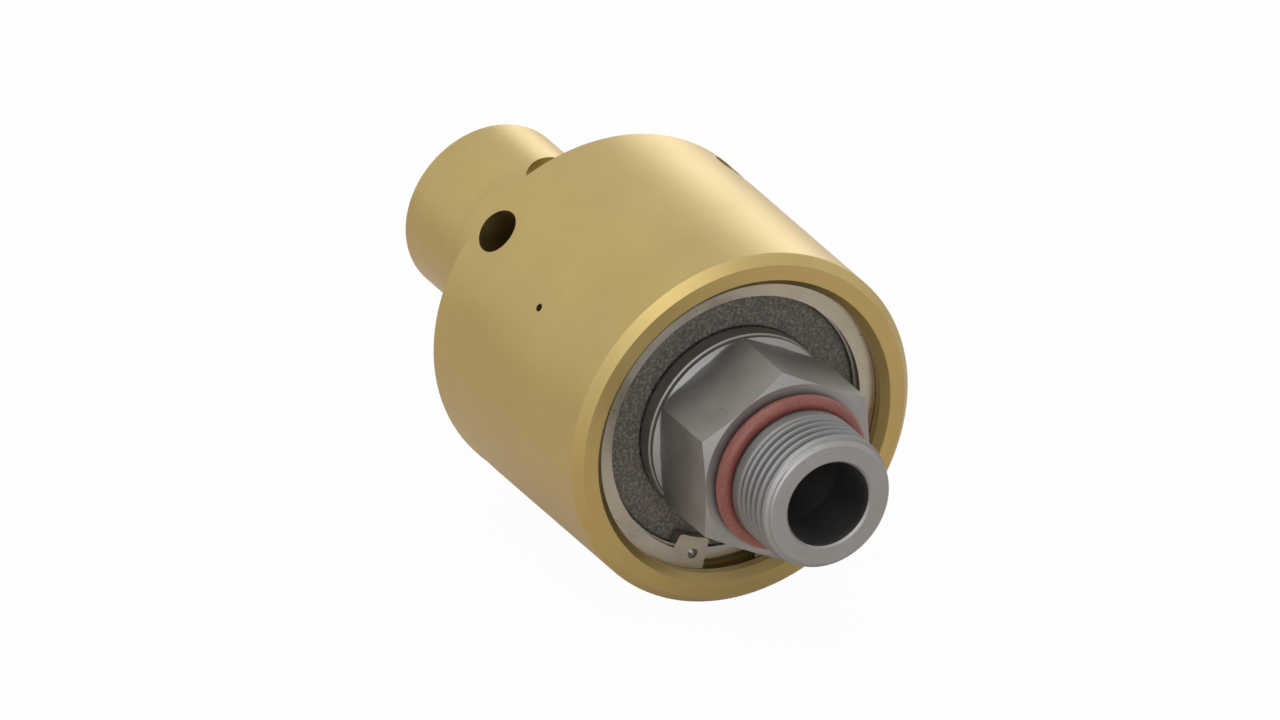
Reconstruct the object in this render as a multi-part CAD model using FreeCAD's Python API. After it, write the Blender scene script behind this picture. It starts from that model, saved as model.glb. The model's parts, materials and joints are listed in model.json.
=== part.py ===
import FreeCAD, Part
import math
import os

# Hydraulic rotary union, in millimetres.
# The rotor turns about +X, which runs from the inlet port's mouth, at the origin, to the male thread.
# +Z is up.
# Angles are measured about +X, from +Y towards +Z.

# Housing, turned from brass bar
barrel_wall = 5.925
front_chamfer_length = 1.9
front_chamfer_depth = 1.6
back_chamfer = 0.7
neck_radius = 16.7
neck_length = 43.5
neck_chamfer = 0.6
web_thickness = 3.0
chamber_length = 8.75
chamber_step = 4.575
mouth_chamfer = 1.35

# Inlet port, drilled for a 3/4 inch parallel pipe thread, and the bore that the seal carrier slides in
port_radius = 12.06
port_depth = 17.0
land_radius = 9.5
land_length = 3.0
cavity_radius = 12.5

# Two wrench flats on the neck, each the path of one end mill
neck_across_flats = 28.0
neck_flat_angle = 67.0
neck_flat_start = 14.8
neck_flat_end_gap = 0.3
flat_cutter_radius = 10.0

# Vents and grease hole in the barrel
vent_radius = 4.25
vent_count = 4
vent_first_angle = 45.0
vent_from_back = 6.0
grease_hole_radius = 0.75
grease_hole_angle = 144.2
grease_hole_from_spacer_edge = 1.075

# Two identical ball bearings, 1 inch bore, 2 1/4 inch outside, 5/8 inch wide
bearing_bore_radius = 12.7
bearing_outer_radius = 28.575
bearing_width = 15.875
inner_land = 2.4375
outer_land = 2.5625
bearing_corner = 0.8
ball_radius = 4.7625
ball_count = 9
race_clearance = 0.05
cage_inner_gap = 1.0
cage_outer_gap = 1.2
cage_side_gap = 0.3875
pocket_clearance = 0.12
seal_seat_step = 2.0
seal_setback = 0.45
seal_thickness = 1.6
seal_lip_clearance = 0.05
seal_edge = 0.4
bearing_spacing = 6.0
outer_spacer_wall = 3.0
inner_spacer_wall = 4.5
seat_clearance = 0.01

# Circlip in the mouth of the barrel
circlip_thickness = 2.0
circlip_setback = 3.2
circlip_band = 4.7
circlip_groove_depth = 1.525
circlip_side_play = 0.15
circlip_radial_play = 0.1
circlip_gap_angle = 22.0
circlip_gap_centre = -93.0
lug_height = 2.9
lug_span_angle = 16.0
lug_hole_radius = 1.0
lug_hole_from_edge = 3.2
lug_hole_angle = 6.2
lug_corner_radius = 0.7

# Rotor, stainless steel
rotor_bore_radius = 8.3
rotor_tail = 3.25
spacer_ring_radius = 18.45
spacer_ring_length = 3.2
spacer_ring_chamfer = 0.25
collar_gap = 0.05
collar_radius = 18.1
collar_length = 0.75
collar_groove_length = 0.5
hex_across_flats = 33.5
hex_corner_angle = 31.6
hex_length = 17.1
hex_back_radius = 16.9
hex_face_radius = 16.76
hex_back_slope = 0.41
hex_front_slope = 0.36
relief_radius = 12.0
relief_length = 3.4
thread_radius = 13.2205
thread_length = 12.45
thread_shoulder_chamfer = 0.3
tip_chamfer_length = 2.4
tip_chamfer_depth = 0.87
bore_mouth_chamfer = 0.4

# Red sealing ring in the relief
red_ring_half_width = 1.4
red_ring_half_height = 1.625
red_ring_clearance = 0.05

# Snap ring that holds the bearings on the rotor
snap_ring_thickness = 1.5
snap_ring_radius = 15.0
snap_groove_radius = 11.9
snap_ring_gap_angle = 40.0

# Rotating seal ring in the end of the rotor
seal_ring_radius = 10.5
seal_ring_proud = 1.0
seal_recess_depth = 2.8
seal_ring_cord = 1.0
seal_ring_rebate = 1.1

# Floating carrier with its carbon ring
seal_film = 0.02
carbon_radius = 10.9
carbon_bore_radius = 8.8
carbon_nose_radius = 10.2
carbon_nose_length = 0.8
carbon_proud = 1.0
carbon_pocket_depth = 2.2
carrier_bore_radius = 8.3
carrier_clearance = 0.05
flange_radius = 16.6
flange_thickness = 1.8
carrier_stem_length = 19.2
ring_groove_from_flange = 11.7
carrier_o_ring_cord = 2.0
carrier_o_ring_play = 0.3
backup_ring_width = 1.2

# Spring and anti-rotation pins
spring_seat_thickness = 1.0
spring_wire_radius = 0.6
spring_mean_radius = 11.0
spring_turns = 4.5
pin_radius = 0.9
pin_circle = 14.9
pin_hole_depth = 5.0
pin_setback = 0.5
pin_slot_clearance = 0.15
pin_count = 2

# How far a cutting tool reaches past the surface that it cuts
overrun = 1.0

# What holds and closes in the bearings follows from their outside and bore
barrel_radius = bearing_outer_radius + barrel_wall
chamber_radius = bearing_outer_radius - chamber_step
pitch_radius = (bearing_bore_radius + bearing_outer_radius) / 2
inner_shoulder_radius = pitch_radius - inner_land
outer_shoulder_radius = pitch_radius + outer_land
cage_inner_radius = inner_shoulder_radius + cage_inner_gap
cage_outer_radius = outer_shoulder_radius - cage_outer_gap
cage_width = bearing_width - 2 * (seal_setback + seal_thickness + cage_side_gap)
seal_seat_radius = outer_shoulder_radius + seal_seat_step
circlip_groove_radius = bearing_outer_radius + circlip_groove_depth
circlip_inner_radius = circlip_groove_radius - circlip_band
lug_inner_radius = circlip_inner_radius - lug_height
lug_hole_circle = lug_inner_radius + lug_hole_from_edge
barrel_length = web_thickness + chamber_length + 2 * bearing_width + bearing_spacing
barrel_length += circlip_thickness + circlip_setback

# Stations along the axis
barrel_back = neck_length
barrel_face = barrel_back + barrel_length
web_front = barrel_back + web_thickness
cavity_start = port_depth + land_length
vent_station = barrel_back + vent_from_back
circlip_front = barrel_face - circlip_setback
circlip_back = circlip_front - circlip_thickness
front_bearing_back = circlip_back - bearing_width
rear_bearing_front = front_bearing_back - bearing_spacing
rear_bearing_back = rear_bearing_front - bearing_width
grease_hole_station = rear_bearing_front + grease_hole_from_spacer_edge
spacer_ring_front = circlip_back + spacer_ring_length
collar_back = spacer_ring_front + collar_gap
collar_front = collar_back + collar_length
hex_back = collar_front + collar_groove_length
hex_face = hex_back + hex_length
thread_back = hex_face + relief_length
rotor_tip = thread_back + thread_length
rotor_back = rear_bearing_back - rotor_tail
snap_groove_back = rear_bearing_back - snap_ring_thickness - seat_clearance
seal_recess_front = rotor_back + seal_recess_depth
seal_ring_back = rotor_back - seal_ring_proud
carbon_face = seal_ring_back - seal_film
carrier_front = carbon_face - carbon_proud
carbon_back = carrier_front - carbon_pocket_depth
flange_back = carrier_front - flange_thickness
carrier_back = flange_back - carrier_stem_length
ring_groove_front = flange_back - ring_groove_from_flange
backup_ring_back = ring_groove_front - backup_ring_width
carrier_o_ring_back = backup_ring_back - carrier_o_ring_cord
ring_groove_back = carrier_o_ring_back - carrier_o_ring_play
spring_seat_front = cavity_start + spring_seat_thickness
pin_back = web_front - pin_hole_depth
pin_front = carrier_front - pin_setback

# Radii that follow from the sizes above
bearing_seat_radius = bearing_outer_radius - seat_clearance
shaft_seat_radius = bearing_bore_radius + seat_clearance
carrier_radius = cavity_radius - carrier_clearance
ring_groove_radius = carrier_radius - carrier_o_ring_cord
seal_recess_radius = seal_ring_radius + seat_clearance

origin = FreeCAD.Vector(0, 0, 0)
axis_x = FreeCAD.Vector(1, 0, 0)
axis_y = FreeCAD.Vector(0, 1, 0)


def at(x, radius, angle):
    """Point at a station, a radius and an angle in degrees."""
    turn = math.radians(angle)
    return FreeCAD.Vector(x, radius * math.cos(turn), radius * math.sin(turn))


def turned(points, start=0.0, sweep=360.0):
    """Solid turned from a closed profile of (station, radius) points."""
    corners = [at(x, radius, start) for x, radius in points]
    face = Part.Face(Part.makePolygon(corners + corners[:1]))
    return face.revolve(origin, axis_x, sweep)


def rod(radius, back, front, off_axis=0.0, angle=0.0):
    """Cylinder parallel to the axis."""
    return Part.makeCylinder(radius, front - back, at(back, off_axis, angle), axis_x)


def sleeve(inner, outer, back, front):
    """Plain ring or tube."""
    return turned([(back, inner), (back, outer), (front, outer), (front, inner)])


def radial_hole(x, angle, radius, inner, outer):
    """Drill that runs outwards across the axis between two radii."""
    return Part.makeCylinder(radius, outer - inner, at(x, inner, angle), at(0, 1, angle))


def torus(x, centre_radius, cord):
    """Round-section ring, given by the diameter of its cord."""
    return Part.makeTorus(centre_radius, cord / 2, FreeCAD.Vector(x, 0, 0), axis_x)


def evenly(count, first=0.0):
    """Angles of equally spaced copies."""
    return [first + index * 360.0 / count for index in range(count)]


def housing_outside():
    """Profile of the neck, the barrel and its two chamfers."""
    return [
        (0, port_radius),
        (0, neck_radius - neck_chamfer),
        (neck_chamfer, neck_radius),
        (barrel_back, neck_radius),
        (barrel_back, barrel_radius - back_chamfer),
        (barrel_back + back_chamfer, barrel_radius),
        (barrel_face - front_chamfer_length, barrel_radius),
        (barrel_face, barrel_radius - front_chamfer_depth),
    ]


def housing_inside():
    """Profile of the mouth, circlip groove, bearing bore, chamber, seal bore and port."""
    groove_front = circlip_front + circlip_side_play
    return [
        (barrel_face, bearing_outer_radius + mouth_chamfer),
        (barrel_face - mouth_chamfer, bearing_outer_radius),
        (groove_front, bearing_outer_radius),
        (groove_front, circlip_groove_radius),
        (circlip_back, circlip_groove_radius),
        (circlip_back, bearing_outer_radius),
        (rear_bearing_back, bearing_outer_radius),
        (rear_bearing_back, chamber_radius),
        (web_front, chamber_radius),
        (web_front, cavity_radius),
        (cavity_start, cavity_radius),
        (cavity_start, land_radius),
        (port_depth, land_radius),
        (port_depth, port_radius),
    ]


def neck_flat(angle):
    """Tool for one wrench flat: a straight path with the round ends that the cutter leaves."""
    first = neck_flat_start + flat_cutter_radius
    last = barrel_back - neck_flat_end_gap - flat_cutter_radius
    floor = neck_across_flats / 2
    depth = neck_radius + overrun - floor
    path = Part.makeBox(last - first, 2 * flat_cutter_radius, depth,
                        FreeCAD.Vector(first, -flat_cutter_radius, floor))
    ends = [Part.makeCylinder(flat_cutter_radius, depth, FreeCAD.Vector(x, 0, floor)) for x in (first, last)]
    tool = path.fuse(ends)
    tool.rotate(origin, axis_x, angle - 90)
    return tool


def grease_drill():
    """Drill for the grease hole, through the barrel and the outer spacer."""
    inner = bearing_outer_radius - outer_spacer_wall - overrun
    outer = barrel_radius + overrun
    return radial_hole(grease_hole_station, grease_hole_angle, grease_hole_radius, inner, outer)


def housing():
    """Neck and barrel in one piece, with its flats, vents, grease hole and pin holes."""
    tools = [grease_drill()]
    tools += [neck_flat(angle) for angle in evenly(2, neck_flat_angle)]
    for angle in evenly(vent_count, vent_first_angle):
        tools.append(radial_hole(vent_station, angle, vent_radius, chamber_radius - overrun,
                                 barrel_radius + overrun))
    for angle in evenly(pin_count):
        tools.append(rod(pin_radius, pin_back, web_front + overrun, pin_circle, angle))
    return turned(housing_outside() + housing_inside()).cut(tools)


def runs_along_axis(edge, radius):
    """True for a straight edge parallel to the axis at this radius."""
    ends = [vertex.Point for vertex in edge.Vertexes]
    if len(ends) < 2 or abs(ends[0].x - ends[1].x) < circlip_thickness / 2:
        return False
    return all(abs(math.hypot(end.y, end.z) - radius) < seat_clearance for end in ends)


def circlip_lug(start):
    """Lug of the circlip that covers one lug span from this angle, with rounded inner corners."""
    root = circlip_inner_radius + (circlip_groove_radius - circlip_inner_radius) / 2
    section = [(circlip_back, lug_inner_radius), (circlip_back, root), (circlip_front, root),
               (circlip_front, lug_inner_radius)]
    lug = turned(section, start, lug_span_angle)
    corners = [edge for edge in lug.Edges if runs_along_axis(edge, lug_inner_radius)]
    return lug.makeFillet(lug_corner_radius, corners)


def retaining_ring():
    """Internal circlip with a lug at each free end."""
    first_end = circlip_gap_centre + circlip_gap_angle / 2
    last_end = circlip_gap_centre - circlip_gap_angle / 2
    outer = circlip_groove_radius - circlip_radial_play
    section = [(circlip_back, circlip_inner_radius), (circlip_back, outer), (circlip_front, outer),
               (circlip_front, circlip_inner_radius)]
    ring = turned(section, first_end, 360 - circlip_gap_angle)
    ring = ring.fuse([circlip_lug(first_end), circlip_lug(last_end - lug_span_angle)])
    hole_angles = (first_end + lug_hole_angle, last_end - lug_hole_angle)
    holes = [rod(lug_hole_radius, circlip_back - overrun, circlip_front + overrun, lug_hole_circle, angle)
             for angle in hole_angles]
    return ring.cut(holes).removeSplitter()


def race(back):
    """Tool that grinds the ball track of a bearing."""
    return torus(back + bearing_width / 2, pitch_radius, 2 * (ball_radius + race_clearance))


def mirrored_profile(points, back):
    """Profile turned end for end within a bearing's width."""
    return [(2 * back + bearing_width - x, radius) for x, radius in points]


def outer_ring(back, faces_front):
    """Outer ring with its track and, at one face, the seat of the bearing seal."""
    front = back + bearing_width
    recess = front - seal_setback - seal_thickness
    profile = [
        (back, outer_shoulder_radius),
        (back, bearing_seat_radius - bearing_corner),
        (back + bearing_corner, bearing_seat_radius),
        (front - bearing_corner, bearing_seat_radius),
        (front, bearing_seat_radius - bearing_corner),
        (front, seal_seat_radius),
        (recess, seal_seat_radius),
        (recess, outer_shoulder_radius),
    ]
    if not faces_front:
        profile = mirrored_profile(profile, back)
    return turned(profile).cut(race(back))


def inner_ring(back):
    """Inner ring with its track and the chamfers of its bore."""
    front = back + bearing_width
    profile = [
        (back, shaft_seat_radius + bearing_corner),
        (back, inner_shoulder_radius),
        (front, inner_shoulder_radius),
        (front, shaft_seat_radius + bearing_corner),
        (front - bearing_corner, shaft_seat_radius),
        (back + bearing_corner, shaft_seat_radius),
    ]
    return turned(profile).cut(race(back))


def ball_centres(back):
    """Centres of a bearing's balls."""
    return [at(back + bearing_width / 2, pitch_radius, angle) for angle in evenly(ball_count)]


def balls(back):
    """The balls of one bearing."""
    return Part.makeCompound([Part.makeSphere(ball_radius, centre) for centre in ball_centres(back)])


def cage(back):
    """One-piece cage with a spherical pocket round each ball."""
    middle = back + bearing_width / 2
    ring = sleeve(cage_inner_radius, cage_outer_radius, middle - cage_width / 2, middle + cage_width / 2)
    pocket_radius = ball_radius + pocket_clearance
    return ring.cut([Part.makeSphere(pocket_radius, centre) for centre in ball_centres(back)])


def bearing_seal(back, faces_front):
    """Rubber seal behind one face of a bearing, with chamfered edges on its outside face."""
    face = back + bearing_width - seal_setback
    inside = face - seal_thickness
    inner = inner_shoulder_radius + seal_lip_clearance
    outer = seal_seat_radius - seat_clearance
    profile = [
        (inside, inner),
        (inside, outer),
        (face - seal_edge, outer),
        (face, outer - seal_edge),
        (face, inner + seal_edge),
        (face - seal_edge, inner),
    ]
    if not faces_front:
        profile = mirrored_profile(profile, back)
    return turned(profile)


def bearing(name, back, faces_front):
    """Every piece of one bearing, by node name."""
    return {
        name + "_bearing_outer_ring": outer_ring(back, faces_front),
        name + "_bearing_inner_ring": inner_ring(back),
        name + "_bearing_balls": balls(back),
        name + "_bearing_cage": cage(back),
        name + "_bearing_seal": bearing_seal(back, faces_front),
    }


def outer_bearing_spacer():
    """Ring that holds the outer rings apart, drilled in line with the grease hole."""
    ring = sleeve(bearing_outer_radius - outer_spacer_wall, bearing_seat_radius, rear_bearing_front,
                  front_bearing_back)
    return ring.cut(grease_drill())


def inner_bearing_spacer():
    """Ring that holds the inner rings apart."""
    return sleeve(shaft_seat_radius, shaft_seat_radius + inner_spacer_wall, rear_bearing_front,
                  front_bearing_back)


def front_spacer_ring():
    """Ring between the front bearing and the rotor's collar."""
    edge = spacer_ring_chamfer
    return turned([
        (circlip_back, shaft_seat_radius),
        (circlip_back, spacer_ring_radius - edge),
        (circlip_back + edge, spacer_ring_radius),
        (spacer_ring_front - edge, spacer_ring_radius),
        (spacer_ring_front, spacer_ring_radius - edge),
        (spacer_ring_front, shaft_seat_radius),
    ])


def rotor_outside():
    """Everything on the rotor's outside that is turned, as a solid bar without the hexagon."""
    return turned([
        (rotor_back, 0),
        (rotor_back, bearing_bore_radius),
        (snap_groove_back, bearing_bore_radius),
        (snap_groove_back, snap_groove_radius),
        (rear_bearing_back, snap_groove_radius),
        (rear_bearing_back, bearing_bore_radius),
        (collar_back, bearing_bore_radius),
        (collar_back, collar_radius),
        (collar_front, collar_radius),
        (hex_back, hex_back_radius),
        (hex_back, relief_radius),
        (thread_back - thread_shoulder_chamfer, relief_radius),
        (thread_back, thread_radius),
        (rotor_tip - tip_chamfer_length, thread_radius),
        (rotor_tip, thread_radius - tip_chamfer_depth),
        (rotor_tip, 0),
    ])


def hexagon():
    """Wrench hexagon, with its corners turned off by a cone at each end."""
    corner = hex_across_flats / math.sqrt(3)
    points = [at(hex_back, corner, angle) for angle in evenly(6, hex_corner_angle)]
    prism = Part.Face(Part.makePolygon(points + points[:1])).extrude(axis_x * hex_length)
    reach = corner + overrun
    envelope = turned([
        (hex_back, 0),
        (hex_back, hex_back_radius),
        (hex_back + hex_back_slope * (reach - hex_back_radius), reach),
        (hex_face - hex_front_slope * (reach - hex_face_radius), reach),
        (hex_face, hex_face_radius),
        (hex_face, 0),
    ])
    return prism.common(envelope)


def rotor_inside():
    """Tool for the rotor's bore, its mouth chamfer and the recess of the rotating seal ring."""
    return turned([
        (rotor_back - overrun, 0),
        (rotor_back - overrun, seal_recess_radius),
        (seal_recess_front, seal_recess_radius),
        (seal_recess_front, rotor_bore_radius),
        (rotor_tip - bore_mouth_chamfer, rotor_bore_radius),
        (rotor_tip + overrun, rotor_bore_radius + bore_mouth_chamfer + overrun),
        (rotor_tip + overrun, 0),
    ])


def rotor():
    """Shank, collar, hexagon, relief and male end in one piece."""
    return rotor_outside().fuse(hexagon()).cut(rotor_inside()).removeSplitter()


def rotor_snap_ring():
    """External snap ring behind the rear bearing."""
    inner = snap_groove_radius + seat_clearance
    back = rear_bearing_back - snap_ring_thickness
    section = [(back, inner), (back, snap_ring_radius), (rear_bearing_back, snap_ring_radius),
               (rear_bearing_back, inner)]
    return turned(section, snap_ring_gap_angle / 2, 360 - snap_ring_gap_angle)


def thread_seal_ring():
    """Red ring in the relief, squeezed to an oval section."""
    middle_radius = relief_radius + red_ring_clearance + red_ring_half_height
    centre = FreeCAD.Vector(hex_face + red_ring_half_width, middle_radius, 0)
    top = centre + axis_y * red_ring_half_height
    side = centre + axis_x * red_ring_half_width
    section = Part.Ellipse(top, side, centre).toShape()
    return Part.Face(Part.Wire(section)).revolve(origin, axis_x, 360)


def rotating_seal_ring():
    """Lapped ring that stands proud of the rotor's end, rebated for its O-ring."""
    rebate_back = seal_recess_front - seal_ring_rebate
    rebate_radius = seal_ring_radius - seal_ring_rebate
    return turned([
        (seal_ring_back, rotor_bore_radius),
        (seal_ring_back, seal_ring_radius),
        (rebate_back, seal_ring_radius),
        (rebate_back, rebate_radius),
        (seal_recess_front, rebate_radius),
        (seal_recess_front, rotor_bore_radius),
    ])


def seal_ring_o_ring():
    """O-ring in the corner of the rotor's recess."""
    half = seal_ring_cord / 2
    return torus(seal_recess_front - half, seal_ring_radius - half, seal_ring_cord)


def seal_carrier():
    """Floating carrier: stem with the secondary seal's groove, slotted flange and carbon pocket."""
    pocket_radius = carbon_radius + seat_clearance
    body = turned([
        (carrier_back, carrier_bore_radius),
        (carrier_back, carrier_radius),
        (ring_groove_back, carrier_radius),
        (ring_groove_back, ring_groove_radius),
        (ring_groove_front, ring_groove_radius),
        (ring_groove_front, carrier_radius),
        (flange_back, carrier_radius),
        (flange_back, flange_radius),
        (carrier_front, flange_radius),
        (carrier_front, pocket_radius),
        (carbon_back, pocket_radius),
        (carbon_back, carrier_bore_radius),
    ])
    return body.cut([pin_slot(angle) for angle in evenly(pin_count)])


def pin_slot(angle):
    """Tool for a flange slot that is round at its bottom and open at the rim."""
    half = pin_radius + pin_slot_clearance
    back = flange_back - overrun
    length = flange_thickness + 2 * overrun
    mouth = Part.makeBox(length, flange_radius, 2 * half, FreeCAD.Vector(back, pin_circle, -half))
    mouth.rotate(origin, axis_x, angle)
    return rod(half, back, back + length, pin_circle, angle).fuse(mouth)


def carbon_ring():
    """Carbon ring with a narrow nose that runs on the rotating ring."""
    shoulder = carbon_face - carbon_nose_length
    return turned([
        (carbon_back, carbon_bore_radius),
        (carbon_back, carbon_radius),
        (shoulder, carbon_radius),
        (shoulder, carbon_nose_radius),
        (carbon_face, carbon_nose_radius),
        (carbon_face, carbon_bore_radius),
    ])


def carrier_o_ring():
    """Secondary seal round the carrier's stem."""
    half = carrier_o_ring_cord / 2
    return torus(carrier_o_ring_back + half, carrier_radius - half, carrier_o_ring_cord)


def carrier_backup_ring():
    """Flat ring on the side of the O-ring that is away from the pressure."""
    return sleeve(ring_groove_radius + seat_clearance, carrier_radius, backup_ring_back, ring_groove_front)


def spring_seat():
    """Washer under the spring."""
    return sleeve(land_radius, cavity_radius - seat_clearance, cavity_start, spring_seat_front)


def seal_spring():
    """Compression spring between its washer and the carrier."""
    start = spring_seat_front + spring_wire_radius
    length = carrier_back - spring_wire_radius - start
    helix = Part.Wire(Part.makeHelix(length / spring_turns, length, spring_mean_radius).Edges)
    wire_end = FreeCAD.Vector(spring_mean_radius, 0, 0)
    section = Part.Wire(Part.makeCircle(spring_wire_radius, wire_end, axis_y))
    spring = helix.makePipeShell([section], True, True)
    spring.rotate(origin, axis_y, 90)
    spring.translate(axis_x * start)
    return spring


def anti_rotation_pins():
    """Pins that stand in the housing's web and keep the carrier from turning."""
    radius = pin_radius - seat_clearance
    return Part.makeCompound([rod(radius, pin_back, pin_front, pin_circle, angle)
                              for angle in evenly(pin_count)])


nodes = {
    "housing": housing(),
    "retaining_ring": retaining_ring(),
    "outer_bearing_spacer": outer_bearing_spacer(),
    "inner_bearing_spacer": inner_bearing_spacer(),
    "front_spacer_ring": front_spacer_ring(),
    "rotor": rotor(),
    "rotor_snap_ring": rotor_snap_ring(),
    "thread_seal_ring": thread_seal_ring(),
    "rotating_seal_ring": rotating_seal_ring(),
    "seal_ring_o_ring": seal_ring_o_ring(),
    "seal_carrier": seal_carrier(),
    "carbon_ring": carbon_ring(),
    "carrier_o_ring": carrier_o_ring(),
    "carrier_backup_ring": carrier_backup_ring(),
    "spring_seat": spring_seat(),
    "seal_spring": seal_spring(),
    "anti_rotation_pins": anti_rotation_pins(),
}
nodes.update(bearing("front", front_bearing_back, True))
nodes.update(bearing("rear", rear_bearing_back, False))

os.makedirs("parts", exist_ok=True)
for name, shape in nodes.items():
    shape.exportStep("parts/" + name + ".step")
    print(name, "solids", len(shape.Solids), "valid", shape.isValid(), "volume", round(shape.Volume, 2))
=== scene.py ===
import json
import math
import bmesh
import bpy
from mathutils import Matrix, Vector


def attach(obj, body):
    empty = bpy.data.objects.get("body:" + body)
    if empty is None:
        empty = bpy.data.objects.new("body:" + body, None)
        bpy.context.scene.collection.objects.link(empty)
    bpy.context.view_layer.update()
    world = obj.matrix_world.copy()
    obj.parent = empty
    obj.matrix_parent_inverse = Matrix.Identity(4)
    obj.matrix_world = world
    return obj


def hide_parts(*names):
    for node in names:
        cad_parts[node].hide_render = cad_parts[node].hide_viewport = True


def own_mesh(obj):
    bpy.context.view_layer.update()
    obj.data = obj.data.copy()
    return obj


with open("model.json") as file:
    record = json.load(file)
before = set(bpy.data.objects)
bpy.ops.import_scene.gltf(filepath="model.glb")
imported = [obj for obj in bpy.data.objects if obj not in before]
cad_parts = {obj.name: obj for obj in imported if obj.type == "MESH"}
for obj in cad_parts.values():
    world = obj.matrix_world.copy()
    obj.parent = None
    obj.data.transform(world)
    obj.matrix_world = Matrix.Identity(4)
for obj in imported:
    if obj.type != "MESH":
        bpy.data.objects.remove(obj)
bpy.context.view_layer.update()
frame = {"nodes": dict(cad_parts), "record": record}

nodes = frame["nodes"]
mm = 0.001
noiseLow, noiseHigh = 0.3, 0.7  # what a noise texture mostly stays between
speckLow, speckHigh = 0.72, 0.80  # only its rare peaks make a speck
mergeDistance = 1e-7
print("frame loaded:", len(nodes), "nodes")


def linear(hexText):
    # sRGB hex to the linear values that Blender wants
    value = hexText.lstrip("#")
    parts = [int(value[i:i + 2], 16) / 255 for i in (0, 2, 4)]
    return [p / 12.92 if p <= 0.04045 else ((p + 0.055) / 1.055) ** 2.4 for p in parts] + [1.0]


def addNode(tree, kind, settings=None, inputs=None):
    # settings are the node's own properties; an input is a value, or a socket to link from
    node = tree.nodes.new(kind)
    for name, value in (settings or {}).items():
        setattr(node, name, value)
    for key, value in (inputs or {}).items():
        if isinstance(value, bpy.types.NodeSocket):
            tree.links.new(value, node.inputs[key])
        else:
            node.inputs[key].default_value = value
    return node


def newMaterial(name):
    material = bpy.data.materials.new(name)
    material.use_nodes = True
    material.node_tree.nodes.clear()
    return material


def finish(material, shader):
    addNode(material.node_tree, "ShaderNodeOutputMaterial", None, {"Surface": shader.outputs[0]})
    material.diffuse_color = (0.5, 0.5, 0.5, 1)  # solid view only
    return material


def lathePlace(tree):
    # station along the axis and distance from it, so that a line stays on its turn round the axis
    place = addNode(tree, "ShaderNodeTexCoord").outputs["Object"]
    xyz = addNode(tree, "ShaderNodeSeparateXYZ", None, {0: place})
    flat = addNode(tree, "ShaderNodeCombineXYZ", None, {1: xyz.outputs[1], 2: xyz.outputs[2]})
    radius = addNode(tree, "ShaderNodeVectorMath", {"operation": "LENGTH"}, {0: flat.outputs[0]})
    turned = addNode(tree, "ShaderNodeCombineXYZ", None, {0: xyz.outputs[0], 1: radius.outputs["Value"]})
    return place, turned.outputs[0]


def turnedMetal(name, look):
    # metal off a lathe or grinder: fine rings, slow patches of handling, a few dark specks
    material = newMaterial(name)
    tree = material.node_tree
    place, turned = lathePlace(tree)
    rings = addNode(tree, "ShaderNodeTexNoise", None,
                    {"Vector": turned, "Scale": 1 / (look["ringMm"] * mm), "Detail": 2.0, "Roughness": 0.6})
    patches = addNode(tree, "ShaderNodeTexNoise", None,
                      {"Vector": place, "Scale": 1 / (look["patchMm"] * mm), "Detail": 4.0, "Roughness": 0.55})
    specks = addNode(tree, "ShaderNodeTexNoise", None,
                     {"Vector": place, "Scale": 1 / (look["speckMm"] * mm), "Detail": 1.0})
    speckMask = addNode(tree, "ShaderNodeMapRange", None,
                        {"Value": specks.outputs[0], "From Min": speckLow, "From Max": speckHigh})
    tint = addNode(tree, "ShaderNodeMix", {"data_type": "RGBA"},
                   {0: patches.outputs[0], 6: linear(look["dull"]), 7: linear(look["clean"])})
    stripe = addNode(tree, "ShaderNodeMapRange", None,
                     {"Value": rings.outputs[0], "From Min": noiseLow, "From Max": noiseHigh,
                      "To Min": 1 - look["ringTone"], "To Max": 1 + look["ringTone"]})
    lined = addNode(tree, "ShaderNodeVectorMath", {"operation": "SCALE"},
                    {0: tint.outputs[2], "Scale": stripe.outputs[0]})
    speckled = addNode(tree, "ShaderNodeMix", {"data_type": "RGBA"},
                       {0: speckMask.outputs[0], 6: lined.outputs[0], 7: linear(look["speck"])})
    colour = speckled.outputs[2]
    if "paintedShade" in look:
        # painted shade: the colour is darkened along one stretch of the axis, the thread, to stand in for its
        # shade
        paintedShade = look["paintedShade"]
        station = addNode(tree, "ShaderNodeSeparateXYZ", None, {0: place}).outputs[0]
        onset = addNode(tree, "ShaderNodeMapRange", None,
                        {"Value": station, "From Min": paintedShade["startMm"] * mm,
                         "From Max": (paintedShade["startMm"] + paintedShade["fadeMm"]) * mm})
        tone = addNode(tree, "ShaderNodeMapRange", None,
                       {"Value": station, "From Min": (paintedShade["endMm"] - paintedShade["fadeMm"]) * mm,
                        "From Max": paintedShade["endMm"] * mm, "To Min": paintedShade["tone"] - 1, "To Max": 0.0})
        scale = addNode(tree, "ShaderNodeMath", {"operation": "MULTIPLY_ADD"},
                        {0: onset.outputs[0], 1: tone.outputs[0], 2: 1.0})
        colour = addNode(tree, "ShaderNodeVectorMath", {"operation": "SCALE"},
                         {0: colour, "Scale": scale.outputs[0]}).outputs[0]
    rough = addNode(tree, "ShaderNodeMapRange", None,
                    {"Value": patches.outputs[0], "From Min": noiseLow, "From Max": noiseHigh,
                     "To Min": look["rough"] - look["roughSpread"],
                     "To Max": look["rough"] + look["roughSpread"]})
    bump = addNode(tree, "ShaderNodeBump", None,
                   {"Strength": look["bump"], "Distance": look["bumpMm"] * mm, "Height": rings.outputs[0]})
    shader = addNode(tree, "ShaderNodeBsdfPrincipled", None,
                     {"Base Color": colour, "Metallic": 1.0, "Roughness": rough.outputs[0],
                      "Normal": bump.outputs[0]})
    return finish(material, shader)


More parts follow.
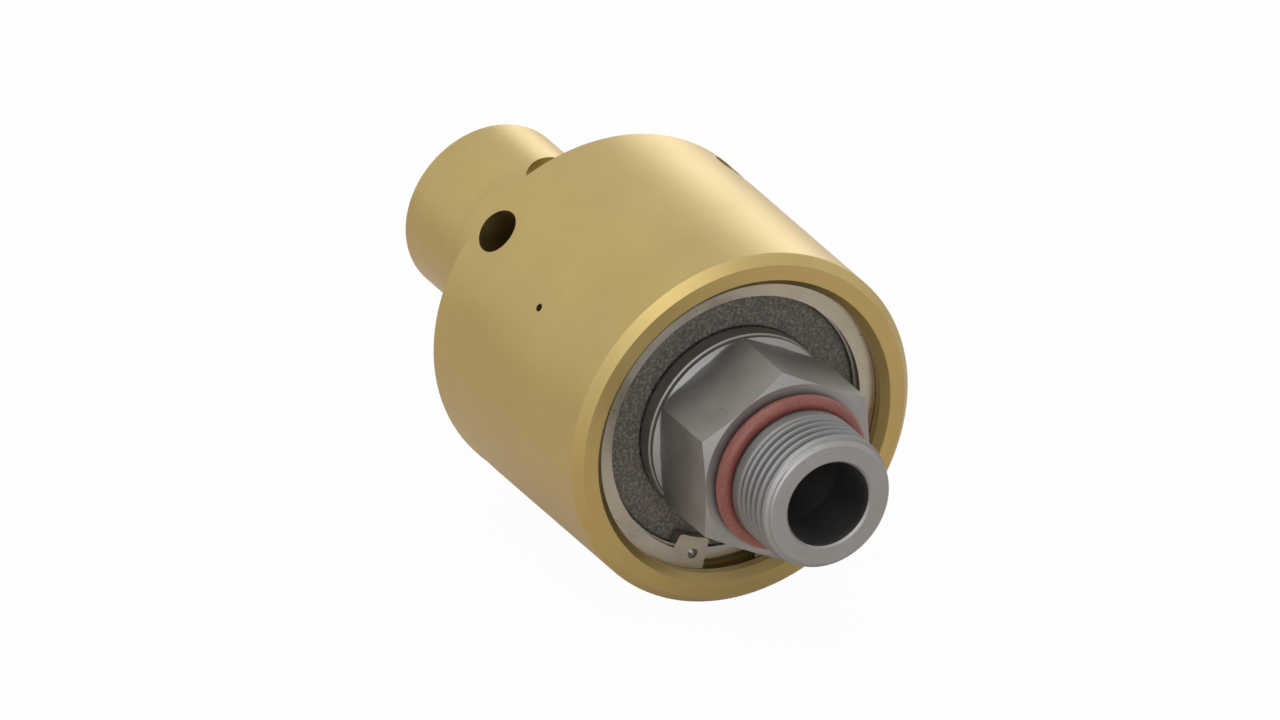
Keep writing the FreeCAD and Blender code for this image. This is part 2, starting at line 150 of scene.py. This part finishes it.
def mouldedSolid(name, look):
    # rubber, carbon or polymer: a grain of two tones, slow patches, a soft skin
    material = newMaterial(name)
    tree = material.node_tree
    place = addNode(tree, "ShaderNodeTexCoord").outputs["Object"]
    grain = addNode(tree, "ShaderNodeTexNoise", None,
                    {"Vector": place, "Scale": 1 / (look["grainMm"] * mm), "Detail": 3.0, "Roughness": 0.65})
    patches = addNode(tree, "ShaderNodeTexNoise", None,
                      {"Vector": place, "Scale": 1 / (look["patchMm"] * mm), "Detail": 3.0})
    mask = addNode(tree, "ShaderNodeMapRange", None,
                   {"Value": grain.outputs[0], "From Min": look["grainLow"], "From Max": look["grainHigh"]})
    base = addNode(tree, "ShaderNodeMix", {"data_type": "RGBA"},
                   {0: patches.outputs[0], 6: linear(look["dark"]), 7: linear(look["mid"])})
    tint = addNode(tree, "ShaderNodeMix", {"data_type": "RGBA"},
                   {0: mask.outputs[0], 6: base.outputs[2], 7: linear(look["light"])})
    roughSpread = 0.08
    rough = addNode(tree, "ShaderNodeMapRange", None,
                    {"Value": grain.outputs[0], "To Min": look["rough"] - roughSpread,
                     "To Max": look["rough"] + roughSpread})
    bump = addNode(tree, "ShaderNodeBump", None,
                   {"Strength": look["bump"], "Distance": look["bumpMm"] * mm, "Height": grain.outputs[0]})
    shader = addNode(tree, "ShaderNodeBsdfPrincipled", None,
                     {"Base Color": tint.outputs[2], "Roughness": rough.outputs[0], "IOR": look["ior"],
                      "Normal": bump.outputs[0]})
    return finish(material, shader)


# Brass bar, turned and left bare: a satin gold with fine feed lines and a little handling tarnish.
# Real lines lie about 0.25 mm apart and would not show, so they are drawn at 0.5 mm
satinTurnedBrass = turnedMetal("satinTurnedBrass", {
    "clean": "#BCA86F", "dull": "#AC9661", "speck": "#AA9460", "ringMm": 0.5, "patchMm": 16, "speckMm": 0.7,
    "ringTone": 0.03, "rough": 0.38, "roughSpread": 0.04, "bump": 0.25, "bumpMm": 0.012})
# Stainless bar, turned and then milled: a dull cool grey, hardly stained, with painted shade that darkens the
# thread.
# Its lines are drawn 0.45 mm apart, coarser than real ones, so that they show
turnedStainless = turnedMetal("turnedStainless", {
    "clean": "#9C9C9B", "dull": "#8D8B89", "speck": "#827F7D", "ringMm": 0.45, "patchMm": 11, "speckMm": 0.6,
    "ringTone": 0.04, "rough": 0.48, "roughSpread": 0.05, "bump": 0.3, "bumpMm": 0.010,
    # painted shade darkens the threaded stretch to 0.72 of its colour
    "paintedShade": {"startMm": 117.4, "endMm": 129.6, "fadeMm": 1.2, "tone": 0.72}})
# Spring steel strip, stamped and tumbled: brighter and warmer, with soft marks about 0.8 mm across
tumbledSpringSteel = turnedMetal("tumbledSpringSteel", {
    "clean": "#B9B3A6", "dull": "#9A9284", "speck": "#57504A", "ringMm": 0.8, "patchMm": 6, "speckMm": 0.6,
    "ringTone": 0.03, "rough": 0.30, "roughSpread": 0.06, "bump": 0.3, "bumpMm": 0.012})
# Bearing steel, hardened and ground: the smoothest of the steels. Grinding lines are finer than 0.1 mm and
# are drawn at 0.25 mm, so that they show
groundBearingSteel = turnedMetal("groundBearingSteel", {
    "clean": "#BFC0C2", "dull": "#A9A9AA", "speck": "#77736E", "ringMm": 0.25, "patchMm": 9, "speckMm": 0.5,
    "ringTone": 0.02, "rough": 0.20, "roughSpread": 0.03, "bump": 0.15, "bumpMm": 0.005})
# Mild steel spacer, faced off on a lathe: dull, slightly warm, with rings 0.5 mm apart
facedSpacerSteel = turnedMetal("facedSpacerSteel", {
    "clean": "#9A9791", "dull": "#87837C", "speck": "#5B554C", "ringMm": 0.5, "patchMm": 7, "speckMm": 0.7,
    "ringTone": 0.05, "rough": 0.52, "roughSpread": 0.05, "bump": 0.3, "bumpMm": 0.012})
# Hard alloy face, lapped flat: dark, even and nearly a mirror, its haze drawn at 0.2 mm
lappedHardAlloy = turnedMetal("lappedHardAlloy", {
    "clean": "#7C7F84", "dull": "#6B6D71", "speck": "#4A4A4C", "ringMm": 0.2, "patchMm": 8, "speckMm": 0.4,
    "ringTone": 0.01, "rough": 0.12, "roughSpread": 0.02, "bump": 0.05, "bumpMm": 0.002})
# Nitrile rubber with mineral filler, moulded on a steel disc: dark brown grey, with a pale grain about
# 0.5 mm across, which is coarser than the filler's and as coarse as it shows on the real one
filledNitrileRubber = mouldedSolid("filledNitrileRubber", {
    "dark": "#3E3A36", "mid": "#4C4742", "light": "#736C62", "grainMm": 0.55, "patchMm": 7, "grainLow": 0.45,
    "grainHigh": 0.66, "rough": 0.62, "bump": 0.4, "bumpMm": 0.06, "ior": 1.52})
# Red elastomer, moulded: smooth skin, slightly dusty
mouldedRedElastomer = mouldedSolid("mouldedRedElastomer", {
    "dark": "#6F3B34", "mid": "#824840", "light": "#976056", "grainMm": 0.5, "patchMm": 5, "grainLow": 0.5,
    "grainHigh": 0.9, "rough": 0.42, "bump": 0.2, "bumpMm": 0.03, "ior": 1.5})
# Carbon graphite, pressed, baked and lapped: near black with a faint grey grain
lappedCarbonGraphite = mouldedSolid("lappedCarbonGraphite", {
    "dark": "#1F2022", "mid": "#28292B", "light": "#3A3B3E", "grainMm": 0.2, "patchMm": 5, "grainLow": 0.5,
    "grainHigh": 0.8, "rough": 0.38, "bump": 0.1, "bumpMm": 0.01, "ior": 1.9})
# Polyamide with glass fibre, injection moulded: cream, with a fine matt grain
mouldedGlassPolyamide = mouldedSolid("mouldedGlassPolyamide", {
    "dark": "#B7A684", "mid": "#C6B795", "light": "#D6CAAE", "grainMm": 0.4, "patchMm": 6, "grainLow": 0.45,
    "grainHigh": 0.8, "rough": 0.5, "bump": 0.2, "bumpMm": 0.02, "ior": 1.53})
# Fluoropolymer, turned from rod: white and waxy
turnedFluoropolymer = mouldedSolid("turnedFluoropolymer", {
    "dark": "#D6D5D0", "mid": "#E0DFDB", "light": "#E9E8E5", "grainMm": 0.6, "patchMm": 6, "grainLow": 0.4,
    "grainHigh": 0.8, "rough": 0.4, "bump": 0.1, "bumpMm": 0.01, "ior": 1.37})
finishOfSlot = {
    "brass": satinTurnedBrass, "stainless": turnedStainless, "spring_steel": tumbledSpringSteel,
    "bearing_steel": groundBearingSteel, "spacer_steel": facedSpacerSteel, "cage_polymer": mouldedGlassPolyamide,
    "seal_rubber": filledNitrileRubber, "red_rubber": mouldedRedElastomer, "carbon": lappedCarbonGraphite,
    "hard_face": lappedHardAlloy, "backup_polymer": turnedFluoropolymer}
for part in frame["record"]["subparts"]:
    mesh = nodes[part["node"]].data
    mesh.materials.clear()
    mesh.materials.append(finishOfSlot[part["material_slot"]])
print("materials:", len(finishOfSlot), "finishes on", len(nodes), "nodes")

# Both pipe threads, in place of the plain cylinders that the CAD has there, 14 turns to the inch.
# base is the radius to start from and swing is what the other side of the form adds to it; band and endBand
# keep each end plain; limit, tip, face and shoulder bound the radius; plainFrom and plainTo find the cylinder
maleThread = {
    "startMm": 118.0, "lengthMm": 12.45, "baseMm": 13.2205, "slope": 0.0, "swingMm": -1.162, "pitchMm": 1.814,
    "crestAtMm": 125.2, "crestAngle": 132.0, "bandMm": 2.2, "endBandMm": -2.0, "limitMm": 13.2205,
    "tipLengthMm": 2.4, "tipDepthMm": 0.87, "faceMm": 11.7, "faceSlope": 1.3, "shoulderMm": 0.3,
    "plainFromMm": 8.65, "plainToMm": 20.0, "rows": 112, "columns": 160}
portThread = {
    "startMm": 0.0, "lengthMm": 17.0, "baseMm": 12.02, "slope": 0.0047, "swingMm": 1.12, "pitchMm": 1.814,
    "crestAtMm": 0.9, "crestAngle": 200.0, "bandMm": 0.15, "endBandMm": 1.6, "limitMm": 20.0,
    "tipLengthMm": 2.4, "tipDepthMm": 0.0, "faceMm": 20.0, "faceSlope": 0.0, "shoulderMm": 0.0,
    "plainFromMm": 12.04, "plainToMm": 12.08, "rows": 150, "columns": 144}
# Joining a thread to the CAD's mesh
joining = {"rimMm": 0.02, "endMm": 0.001, "sharpThreadAngle": 48, "radialWithinAngle": 4}


def threadTree():
    # a grid rolled into a tube, whose radius follows the thread's form along the helix
    tree = bpy.data.node_groups.new("rolledThread", "GeometryNodeTree")
    for name in ("Start", "Length", "Base", "Slope", "Swing", "Pitch", "Phase", "Band", "End Band",
                 "Limit", "Tip Length", "Tip Depth", "Face", "Face Slope", "Shoulder"):
        tree.interface.new_socket(name=name, in_out="INPUT", socket_type="NodeSocketFloat")
    for name in ("Rows", "Columns"):
        tree.interface.new_socket(name=name, in_out="INPUT", socket_type="NodeSocketInt")
    tree.interface.new_socket(name="Metal", in_out="INPUT", socket_type="NodeSocketMaterial")
    tree.interface.new_socket(name="Thread", in_out="OUTPUT", socket_type="NodeSocketGeometry")
    given = addNode(tree, "NodeGroupInput").outputs

    def sums(operation, first, second=0.0, third=0.0):
        return addNode(tree, "ShaderNodeMath", {"operation": operation},
                       {0: first, 1: second, 2: third}).outputs[0]

    def rise(value, low, high):
        return addNode(tree, "ShaderNodeMapRange", {"interpolation_type": "SMOOTHSTEP"},
                       {"Value": value, "From Min": low, "From Max": high}).outputs[0]

    grid = addNode(tree, "GeometryNodeMeshGrid", None,
                   {"Size X": given["Length"], "Size Y": 1.0, "Vertices X": given["Rows"],
                    "Vertices Y": given["Columns"]})
    position = addNode(tree, "GeometryNodeInputPosition")
    place = addNode(tree, "ShaderNodeSeparateXYZ", None, {0: position.outputs[0]})
    along = sums("ADD", place.outputs[0], sums("MULTIPLY", given["Length"], 0.5))
    fromTip = sums("SUBTRACT", given["Length"], along)
    turn = sums("ADD", place.outputs[1], 0.5)
    halfPitch = sums("MULTIPLY", given["Pitch"], 0.5)
    helix = sums("SUBTRACT", sums("DIVIDE", along, given["Pitch"]), sums("ADD", turn, given["Phase"]))
    wrapped = sums("FLOORED_MODULO", sums("ADD", helix, 0.5), 1.0)
    fromCrest = sums("ABSOLUTE", sums("SUBTRACT", wrapped, 0.5))
    # 0 where the form starts, 1 half a pitch on, with both rounded as a pipe thread's are
    rounding = 0.05
    form = rise(fromCrest, rounding, 0.5 - rounding)
    runOut = sums("MULTIPLY", rise(along, given["Band"], sums("ADD", given["Band"], halfPitch)),
                  rise(fromTip, given["End Band"], sums("ADD", given["End Band"], halfPitch)))
    base = sums("ADD", given["Base"], sums("MULTIPLY", along, given["Slope"]))
    cut = sums("ADD", base, sums("MULTIPLY", given["Swing"], sums("MULTIPLY", form, runOut)))
    tip = sums("ADD", sums("SUBTRACT", given["Limit"], given["Tip Depth"]),
               sums("MULTIPLY", fromTip, sums("DIVIDE", given["Tip Depth"], given["Tip Length"])))
    back = sums("ADD", sums("SUBTRACT", given["Limit"], given["Shoulder"]), along)
    corner = sums("ADD", given["Face"], sums("MULTIPLY", fromTip, given["Face Slope"]))
    radius = sums("MINIMUM", sums("MINIMUM", cut, corner), sums("MINIMUM", tip, back))
    angle = sums("MULTIPLY", turn, 2 * math.pi)
    rolled = addNode(tree, "ShaderNodeCombineXYZ", None,
                     {0: sums("ADD", along, given["Start"]), 1: sums("MULTIPLY", radius, sums("COSINE", angle)),
                      2: sums("MULTIPLY", radius, sums("SINE", angle))})
    moved = addNode(tree, "GeometryNodeSetPosition", None,
                    {"Geometry": grid.outputs["Mesh"], "Position": rolled.outputs[0]})
    closed = addNode(tree, "GeometryNodeMergeByDistance", None,
                     {"Geometry": moved.outputs[0], "Distance": mergeDistance})
    real = addNode(tree, "GeometryNodeRealizeInstances", None, {"Geometry": closed.outputs[0]})
    metal = addNode(tree, "GeometryNodeSetMaterial", None,
                    {"Geometry": real.outputs[0], "Material": given["Metal"]})
    addNode(tree, "NodeGroupOutput", None, {0: metal.outputs[0]})
    return tree


threadForm = threadTree()


def threadMesh(look, metal):
    carrier = bpy.data.objects.new("threadCarrier", bpy.data.meshes.new("threadCarrier"))
    bpy.context.scene.collection.objects.link(carrier)
    modifier = carrier.modifiers.new("thread", "NODES")
    modifier.node_group = threadForm
    phase = (look["crestAtMm"] - look["startMm"]) / look["pitchMm"] - look["crestAngle"] / 360
    values = {"Phase": phase, "Slope": look["slope"], "Face Slope": look["faceSlope"],
              "Rows": look["rows"], "Columns": look["columns"] + 1, "Metal": metal}
    for name, key in (("Start", "startMm"), ("Length", "lengthMm"), ("Base", "baseMm"),
                      ("Swing", "swingMm"), ("Pitch", "pitchMm"), ("Band", "bandMm"),
                      ("End Band", "endBandMm"), ("Limit", "limitMm"), ("Tip Length", "tipLengthMm"),
                      ("Tip Depth", "tipDepthMm"), ("Face", "faceMm"), ("Shoulder", "shoulderMm")):
        values[name] = look[key] * mm
    for item in modifier.node_group.interface.items_tree:
        if item.in_out == "INPUT":
            modifier[item.identifier] = values[item.name]
    shape = carrier.evaluated_get(bpy.context.evaluated_depsgraph_get())
    mesh = bpy.data.meshes.new_from_object(shape)
    carrier.modifiers.remove(modifier)
    bpy.data.objects.remove(carrier)
    return mesh


def axisRadius(vert):
    return math.hypot(vert.co.y, vert.co.z)


def fillRing(work, station):
    # closes the flat ring between two open rims at one station
    rims = [e for e in work.edges
            if e.is_boundary and all(abs(v.co.x - station) < joining["rimMm"] * mm for v in e.verts)]
    fresh = bmesh.ops.triangle_fill(work, edges=rims, use_beauty=True, use_dissolve=False)["geom"]
    return [f for f in fresh if isinstance(f, bmesh.types.BMFace)]


def mergedCopy(node):
    # a CAD node's loose triangles as one merged mesh, which carries the CAD's normals along
    source = nodes[node].data.copy()
    kept = source.attributes.new("cadNormal", "FLOAT_VECTOR", "CORNER")
    for corner, normal in zip(kept.data, source.corner_normals):
        corner.vector = normal.vector
    work = bmesh.new()
    work.from_mesh(source)
    bmesh.ops.remove_doubles(work, verts=work.verts, dist=mergeDistance)
    return work


def newPiece(name, mesh, metal, normals):
    mesh.polygons.foreach_set("use_smooth", [True] * len(mesh.polygons))
    mesh.attributes.remove(mesh.attributes["cadNormal"])
    mesh.normals_split_custom_set(normals)
    mesh.materials.clear()
    mesh.materials.append(metal)
    piece = bpy.data.objects.new(name, mesh)
    bpy.context.scene.collection.objects.link(piece)
    return piece


def threadedCopy(name, node, look, metal, outward, ways):
    # a CAD node's own mesh with its plain cylinder taken off and the rolled thread put in its place.
    # outward is 1 for an outside thread and -1 for an inside one; ways are where the end rings face along X
    start, end = look["startMm"] * mm, (look["startMm"] + look["lengthMm"]) * mm
    spare = joining["endMm"] * mm

    def isPlain(vert):
        return (start - spare < vert.co.x < end + spare
                and look["plainFromMm"] * mm < axisRadius(vert) < look["plainToMm"] * mm)

    work = mergedCopy(node)
    plain = [f for f in work.faces if all(isPlain(v) for v in f.verts)]
    bmesh.ops.delete(work, geom=plain, context="FACES")
    rolled = bmesh.new()
    rolled.from_mesh(threadMesh(look, metal))
    bmesh.ops.remove_doubles(rolled, verts=rolled.verts, dist=mergeDistance)
    rolled.faces.ensure_lookup_table()
    middle = rolled.faces[len(rolled.faces) // 2]
    centre = middle.calc_center_median()
    if middle.normal.dot(Vector((0, centre.y, centre.z))) * outward < 0:
        bmesh.ops.reverse_faces(rolled, faces=rolled.faces)
    joined = bpy.data.meshes.new(name + "Thread")
    rolled.to_mesh(joined)
    rolled.free()
    firstNew = len(work.verts)
    work.from_mesh(joined)
    work.verts.ensure_lookup_table()
    threadVerts = set(work.verts[firstNew:])
    for station, way in zip((start, end), ways):
        faces = fillRing(work, station)
        for face in faces:
            face.normal_update()
        bmesh.ops.reverse_faces(work, faces=[f for f in faces if f.normal.x * way < 0])
    work.normal_update()
    for edge in work.edges:
        onThread = all(v in threadVerts for v in edge.verts)
        edge.smooth = not onThread or edge.calc_face_angle(0) < math.radians(joining["sharpThreadAngle"])
    print(name, "plain faces off", len(plain), "open edges left", sum(e.is_boundary for e in work.edges))
    work.verts.index_update()
    threadIndices = {v.index for v in threadVerts}
    mesh = bpy.data.meshes.new(name)
    work.to_mesh(mesh)
    work.free()
    mesh.polygons.foreach_set("use_smooth", [True] * len(mesh.polygons))
    # the CAD's own normals stay on its faces, exactly radial where it was turned; the fresh ring is flat
    radialShare = math.cos(math.radians(joining["radialWithinAngle"]))
    normals = [tuple(corner.vector) for corner in mesh.corner_normals]
    cadNormals = [tuple(corner.vector) for corner in mesh.attributes["cadNormal"].data]
    for polygon in mesh.polygons:
        isRing = all(v not in threadIndices for v in polygon.vertices) or abs(polygon.normal.x) > 0.9999
        first = Vector(cadNormals[polygon.loop_start])
        isFlat = all(Vector(cadNormals[loop]).dot(first) > 0.99999 for loop in polygon.loop_indices)
        for loop in polygon.loop_indices:
            given = Vector(cadNormals[loop])
            isFromCad = given.length > 0.5
            place = mesh.vertices[mesh.loops[loop].vertex_index].co
            outwards = Vector((0, place.y, place.z)).normalized()
            if isFromCad and not isFlat and abs(given.dot(outwards)) > radialShare:
                normals[loop] = tuple(outwards if given.dot(outwards) > 0 else -outwards)
            elif isFromCad:
                normals[loop] = tuple(given)
            elif isRing:
                normals[loop] = tuple(polygon.normal)
    return newPiece(name, mesh, metal, normals)


rotorPiece = threadedCopy("threadedRotor", "rotor", maleThread, turnedStainless, 1, (-1, 1))
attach(rotorPiece, "rotor_body")
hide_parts("rotor")

housingPiece = threadedCopy("threadedHousing", "housing", portThread, satinTurnedBrass, -1, (-1, -1))
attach(housingPiece, "housing_body")
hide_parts("housing")
print("threads cut:", len(rotorPiece.data.polygons), "and", len(housingPiece.data.polygons), "faces")

# The spring, copied as one merged mesh with the CAD's normals, rides on the housing
springWork = mergedCopy("seal_spring")
springMesh = bpy.data.meshes.new("compressedSpring")
springWork.to_mesh(springMesh)
springWork.free()
springNormals = [tuple(corner.vector) for corner in springMesh.attributes["cadNormal"].data]
springPiece = newPiece("compressedSpring", springMesh, tumbledSpringSteel, springNormals)
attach(springPiece, "housing_body")
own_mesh(springPiece)
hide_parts("seal_spring")

# Floor, background and light
studio = {
    "floorMm": (65, 0, -34.55), "floorSize": 3.0, "floorColour": "#EADFD6", "whiteToCamera": 0.97,
    "whiteToGloss": 0.15, "fillLevel": 0.62, "aimMm": (68, 0, 0),
    "lamps": {
        "keyFromBack": {
            "towards": (-0.78, 0.68, 0.14), "away": 1.1, "size": 0.50, "watts": 1.2, "tint": "#FFFFFF"},
        "overhead": {
            "towards": (0.10, -0.25, 1.0), "away": 1.2, "size": 1.1, "watts": 5.0, "tint": "#FFFDF8"},
        "frontFill": {
            "towards": (0.95, -0.40, 0.34), "away": 1.3, "size": 0.8, "watts": 4.5, "tint": "#F6F9FF"}}}
# Parallel view, fitted to the outlines of the barrel and the neck
photoView = {
    "width": 0.23066, "right": (0.4749, 0.88004, 0), "back": (0.778, -0.41984, 0.46739),
    "aimMm": (82.83, -13.06, 10.69), "away": 1.0, "clipEnd": 10}


def paleFloor(look):
    half = look["floorSize"] / 2
    mesh = bpy.data.meshes.new("floor")
    corners = [(-half, -half, 0), (half, -half, 0), (half, half, 0), (-half, half, 0)]
    mesh.from_pydata(corners, [], [(0, 1, 2, 3)])
    mesh.transform(Matrix.Translation(Vector(look["floorMm"]) * mm))
    floor = bpy.data.objects.new("floor", mesh)
    bpy.context.scene.collection.objects.link(floor)
    material = newMaterial("palePaperFloor")
    tree = material.node_tree
    # white to the camera and pale in gloss, while the object still gets the paper's own bounce and shadow
    rays = addNode(tree, "ShaderNodeLightPath").outputs
    paper = addNode(tree, "ShaderNodeBsdfDiffuse", None, {"Color": linear(look["floorColour"])})
    white = addNode(tree, "ShaderNodeEmission", None, {"Color": (1, 1, 1, 1), "Strength": 1.0})
    mirrored = addNode(tree, "ShaderNodeMath", {"operation": "MAXIMUM"},
                       {0: rays["Is Glossy Ray"], 1: rays["Is Transmission Ray"]})
    inGloss = addNode(tree, "ShaderNodeMath", {"operation": "MULTIPLY"},
                      {0: mirrored.outputs[0], 1: look["whiteToGloss"]})
    share = addNode(tree, "ShaderNodeMath", {"operation": "MULTIPLY_ADD"},
                    {0: rays["Is Camera Ray"], 1: look["whiteToCamera"], 2: inGloss.outputs[0]})
    finish(material, addNode(tree, "ShaderNodeMixShader", None,
                             {0: share.outputs[0], 1: paper.outputs[0], 2: white.outputs[0]}))
    mesh.materials.append(material)


def softWorld(look):
    world = bpy.data.worlds.new("studio")
    bpy.context.scene.world = world
    world.use_nodes = True
    tree = world.node_tree
    tree.nodes.clear()
    rays = addNode(tree, "ShaderNodeLightPath").outputs
    mirrored = addNode(tree, "ShaderNodeMath", {"operation": "MAXIMUM"},
                       {0: rays["Is Glossy Ray"], 1: rays["Is Transmission Ray"]})
    seen = addNode(tree, "ShaderNodeMath", {"operation": "MAXIMUM"},
                   {0: rays["Is Camera Ray"], 1: mirrored.outputs[0]})
    fill = addNode(tree, "ShaderNodeBackground", None, {"Color": (1, 1, 1, 1), "Strength": look["fillLevel"]})
    white = addNode(tree, "ShaderNodeBackground", None, {"Color": (1, 1, 1, 1), "Strength": 1.0})
    mixed = addNode(tree, "ShaderNodeMixShader", None,
                    {0: seen.outputs[0], 1: fill.outputs[0], 2: white.outputs[0]})
    addNode(tree, "ShaderNodeOutputWorld", None, {"Surface": mixed.outputs[0]})


def softLamps(look):
    centre = Vector(look["aimMm"]) * mm
    for name, lamp in look["lamps"].items():
        data = bpy.data.lights.new(name, "AREA")
        data.shape = "SQUARE"
        data.size = lamp["size"]
        data.energy = lamp["watts"]
        data.color = linear(lamp["tint"])[:3]
        light = bpy.data.objects.new(name, data)
        bpy.context.scene.collection.objects.link(light)
        way = Vector(lamp["towards"]).normalized()
        light.location = centre + way * lamp["away"]
        light.rotation_euler = way.to_track_quat("Z", "Y").to_euler()


def photoCamera(look):
    data = bpy.data.cameras.new("photoCamera")
    data.type = "ORTHO"
    data.ortho_scale = look["width"]
    data.clip_end = look["clipEnd"]
    camera = bpy.data.objects.new("photoCamera", data)
    bpy.context.scene.collection.objects.link(camera)
    right = Vector(look["right"]).normalized()
    back = Vector(look["back"]).normalized()
    up = back.cross(right).normalized()
    turn = Matrix((right, up, back)).transposed().to_4x4()
    camera.matrix_world = Matrix.Translation(Vector(look["aimMm"]) * mm + back * look["away"]) @ turn
    bpy.context.scene.camera = camera


paleFloor(studio)
softWorld(studio)
softLamps(studio)
photoCamera(photoView)
bpy.context.scene.view_settings.view_transform = "Standard"
print("floor, light and camera are set")
